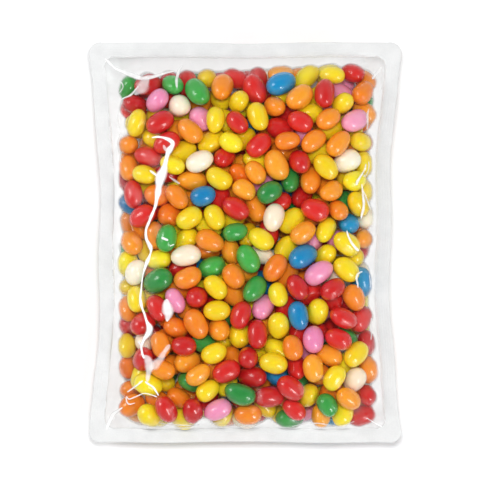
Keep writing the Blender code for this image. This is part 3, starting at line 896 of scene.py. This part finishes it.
def haze_and_painted_light_along_weld():
    """(points, faces, whiteness) of a band on the front film, milky and partly painted light, from the weld
    to the first beans.
    """
    xs, ys, cover = cover_of_beans()
    depths = np.arange(*HAZE_DEPTHS, HAZE_STEP)
    points, white = [], []
    milky = HAZE_AT_WELD
    for depth in depths:
        x, y = outline_loop(depth)
        milky = milky * (1 - (1 - HAZE_LEFT_ON_BEAN) * sampled(cover, xs, ys, x, y))
        fading = min(1, (depths[-1] - depth) / HAZE_END)
        points.append(np.column_stack([x, y, film_height(x, y) + RIBBON_ABOVE]))
        white.append(milky * fading)
    return np.concatenate(points), loop_faces(len(depths), len(x)), np.concatenate(white)


# The band's white is partly painted light, laid over the shade beside the weld and on the beans' rims.
haze_points, haze_faces, haze_white = haze_and_painted_light_along_weld()
mesh_piece("film_haze_and_painted_light_at_weld", haze_points, haze_faces,
           milky_film_and_painted_highlight("polypropylene film, milky and painted light at the weld", HAZE_HEAD_ON), "bag_film",
           {"whiteness": haze_white})

# %% [markdown]
# The weld is where hot bars pressed the two films into one. The bars are finely grooved, so it comes out
# frosted and ribbed along its length, and it cockles a little as it cools. Its loops run inwards over the
# top and then outwards underneath, which makes a closed ring. Frost is thousands of bubbles, each about a
# tenth of a millimetre, too fine to show here, so its grain is drawn seven times as coarse.

# %% The shape of the weld
SEAL_THICKNESS = 0.6 * MM  # two films are a third of this, too thin for the edge to show
SEAL_EDGE = 1.2 * MM
RIB_SPACING = 1.5 * MM
RIB_HEIGHT = 0.02 * MM
SEAL_LOOPS = 30


def welded_border():
    """(points, faces) of the ring, half as thick at its two edges as in between."""
    depths = np.linspace(0, SEAL_WIDTH, SEAL_LOOPS + 1)
    points = []
    for side in (1, -1):
        for depth in depths[::side]:
            x, y = outline_loop(depth)
            edge = min(depth, SEAL_WIDTH - depth) / SEAL_EDGE
            rib = RIB_HEIGHT * math.cos(2 * math.pi * depth / RIB_SPACING) if edge > 1 else 0.0
            thick = SEAL_THICKNESS / 2 * math.sqrt(min(1, 0.25 + 0.75 * edge)) + rib
            points.append(np.column_stack([x, y, seal_level(x, y) + side * thick]))
    return np.concatenate(points), loop_faces(len(points), len(x), closed=True)

# %% The finish of the weld
COCKLE_SIZE = 9 * MM
FROST_SIZE = 0.7 * MM
COCKLE_TO_FROST = 4.0  # how much more the cockle lifts the surface than the frost does
FROST_DEPTH = 0.12 * MM


def frosted_heat_seal():
    """Two films welded by grooved hot bars: the grooves and tiny bubbles turn the clear film frosty."""
    material, tree = blank_material("polypropylene film, heat-sealed, frosted")
    place = add(tree, "ShaderNodeTexCoord").outputs["Object"]
    cockle = add(tree, "ShaderNodeTexNoise", {"Vector": place, "Scale": 1 / COCKLE_SIZE, "Detail": 4.0})
    grain = add(tree, "ShaderNodeTexNoise", {"Vector": place, "Scale": 1 / FROST_SIZE, "Detail": 2.0})
    height = add(tree, "ShaderNodeMath", {0: cockle.outputs["Fac"], 1: COCKLE_TO_FROST,
                                          2: grain.outputs["Fac"]}, operation="MULTIPLY_ADD")
    bump = add(tree, "ShaderNodeBump", {"Height": height.outputs[0], "Distance": FROST_DEPTH,
                                        "Strength": 0.5})
    mottle = add(tree, "ShaderNodeMath", {0: grain.outputs["Fac"], 1: 0.6, 2: cockle.outputs["Fac"]},
                 operation="MULTIPLY_ADD")
    tint = add(tree, "ShaderNodeMix", {"Factor": mottle.outputs[0], 6: linear("#CFD0D1"),
                                       7: linear("#E7E8E8")}, data_type="RGBA")
    seal = add(tree, "ShaderNodeBsdfPrincipled", {
        "Base Color": tint.outputs[2],
        "Roughness": 0.38,
        "IOR": 1.5,
        "Alpha": 0.86,
        "Normal": bump.outputs["Normal"],
    })
    add(tree, "ShaderNodeOutputMaterial", {"Surface": seal.outputs[0]})
    return material


mesh_piece("welded_border", *welded_border(), frosted_heat_seal(), "heat_seal")

# %% [markdown]
# A plain white table, lit a little from below as product photographers do, so that it goes to pure white
# and only the shade right beside the pouch is left.

# %% The table
TABLE_SIZE = 4.0
TABLE_GLOW = 0.03
TABLE_GAP = 0.2 * MM  # so that table and film never lie in one plane
table_mesh = bpy.data.meshes.new("table")
edge = TABLE_SIZE / 2
table_mesh.from_pydata([(-edge, -edge, 0), (edge, -edge, 0), (edge, edge, 0), (-edge, edge, 0)], [],
                       [(0, 1, 2, 3)])
table = bpy.data.objects.new("table", table_mesh)
bpy.context.scene.collection.objects.link(table)
table.location.z = -TABLE_GAP
acrylic, acrylic_tree = blank_material("white acrylic table, lit from below")
white_top = add(acrylic_tree, "ShaderNodeBsdfPrincipled", {
    "Base Color": linear("#F4F5F6"), "Roughness": 0.6, "Emission Color": linear("#FFFFFF"),
    "Emission Strength": TABLE_GLOW})
add(acrylic_tree, "ShaderNodeOutputMaterial", {"Surface": white_top.outputs[0]})
table_mesh.materials.append(acrylic)

# %% [markdown]
# The light. Each bean shows two highlights: a small round one on its left and a longer one at its lower
# right, both about two fifths of the way from its middle to its rim. A highlight sits where the surface
# faces halfway between eye and lamp, so both lamps stand about 47 degrees from straight up. A lamp's size
# sets the highlight's size, and its brightness for its area sets how white it is.
#
# The key is a lamp nearly overhead, a little beyond the pouch's top end, which leaves a short shadow
# below its lower edge. It is twelve degrees tall, so that the shadow fades out within a few millimetres.
# No bean shows a reflection of it, as if it had a polarising filter, so it is hidden from glossy rays.
# The rest is a white tent with a dark opening straight above, where the camera looks in. The opening
# keeps the flat film from mirroring white over the beans, and the tent's walls still do so on the steep
# film at the flanks.

# %% Lamps
LOOK_AT = Vector((0, 0, 0.03))
LAMP_DISTANCE = 1.0


def softbox(name, azimuth, from_straight_up, wide, tall, brightness, mirrored=True):
    """A rectangular lamp that faces the pouch. wide and tall are the angles it fills, in degrees."""
    a, b = math.radians(azimuth), math.radians(from_straight_up)
    towards = Vector((math.sin(b) * math.cos(a), math.sin(b) * math.sin(a), math.cos(b)))
    light = bpy.data.lights.new(name, "AREA")
    light.shape = "RECTANGLE"
    light.size = 2 * LAMP_DISTANCE * math.tan(math.radians(wide) / 2)
    light.size_y = 2 * LAMP_DISTANCE * math.tan(math.radians(tall) / 2)
    light.energy = brightness * math.pi * light.size * light.size_y
    lamp = bpy.data.objects.new(name, light)
    lamp.location = LOOK_AT + towards * LAMP_DISTANCE
    lamp.rotation_euler = towards.to_track_quat("Z", "Y").to_euler()
    lamp.visible_camera = False
    lamp.visible_glossy = mirrored
    bpy.context.scene.collection.objects.link(lamp)


softbox("left_softbox", azimuth=165, from_straight_up=47, wide=20, tall=24, brightness=5.8)
softbox("lower_right_softbox", azimuth=-50, from_straight_up=47, wide=12, tall=30, brightness=9.2)
softbox("key", azimuth=88, from_straight_up=9, wide=14, tall=12, brightness=38.0, mirrored=False)

# %% The white tent
TENT_BRIGHTNESS = 0.5
OPENING_BRIGHTNESS = 0.145
OPENING_FROM_UP = (30, 48)  # degrees from straight up where the tent begins, and where it is full

world = bpy.data.worlds.new("white tent")
world.use_nodes = True
bpy.context.scene.world = world
sky = world.node_tree
direction = add(sky, "ShaderNodeTexCoord").outputs["Generated"]
up = add(sky, "ShaderNodeSeparateXYZ", {0: direction}).outputs["Z"]
inner, outer = (math.cos(math.radians(angle)) for angle in OPENING_FROM_UP)
tent = add(sky, "ShaderNodeMapRange", {"Value": up, "From Min": outer, "From Max": inner,
                                       "To Min": TENT_BRIGHTNESS, "To Max": OPENING_BRIGHTNESS},
           interpolation_type="SMOOTHSTEP")
background = sky.nodes["Background"]
background.inputs["Color"].default_value = linear("#FFFFFF")
sky.links.new(tent.outputs["Result"], background.inputs["Strength"])
bpy.context.scene.view_settings.view_transform = "Standard"

# %% [markdown]
# The camera looks straight down at the pouch, so that it fills the frame as in the photograph. A long
# lens from far away keeps the sides from leaning.

# %% Camera
PHOTO_PIXELS = 490
PIXEL = 0.607 * MM
POUCH_MIDDLE_PIXEL = (245.0, 242.6)
CAMERA_DISTANCE = 1.2
SENSOR_WIDTH = 36
camera_data = bpy.data.cameras.new("camera")
camera_data.sensor_width = SENSOR_WIDTH
camera_data.lens = SENSOR_WIDTH * CAMERA_DISTANCE / (PHOTO_PIXELS * PIXEL)
camera = bpy.data.objects.new("camera", camera_data)
camera.location = (
    (PHOTO_PIXELS / 2 - POUCH_MIDDLE_PIXEL[0]) * PIXEL,
    (POUCH_MIDDLE_PIXEL[1] - PHOTO_PIXELS / 2) * PIXEL,
    SEAL_LEVEL + CAMERA_DISTANCE,
)
bpy.context.scene.collection.objects.link(camera)
bpy.context.scene.camera = camera
print(f"lens {camera_data.lens:.0f} mm")
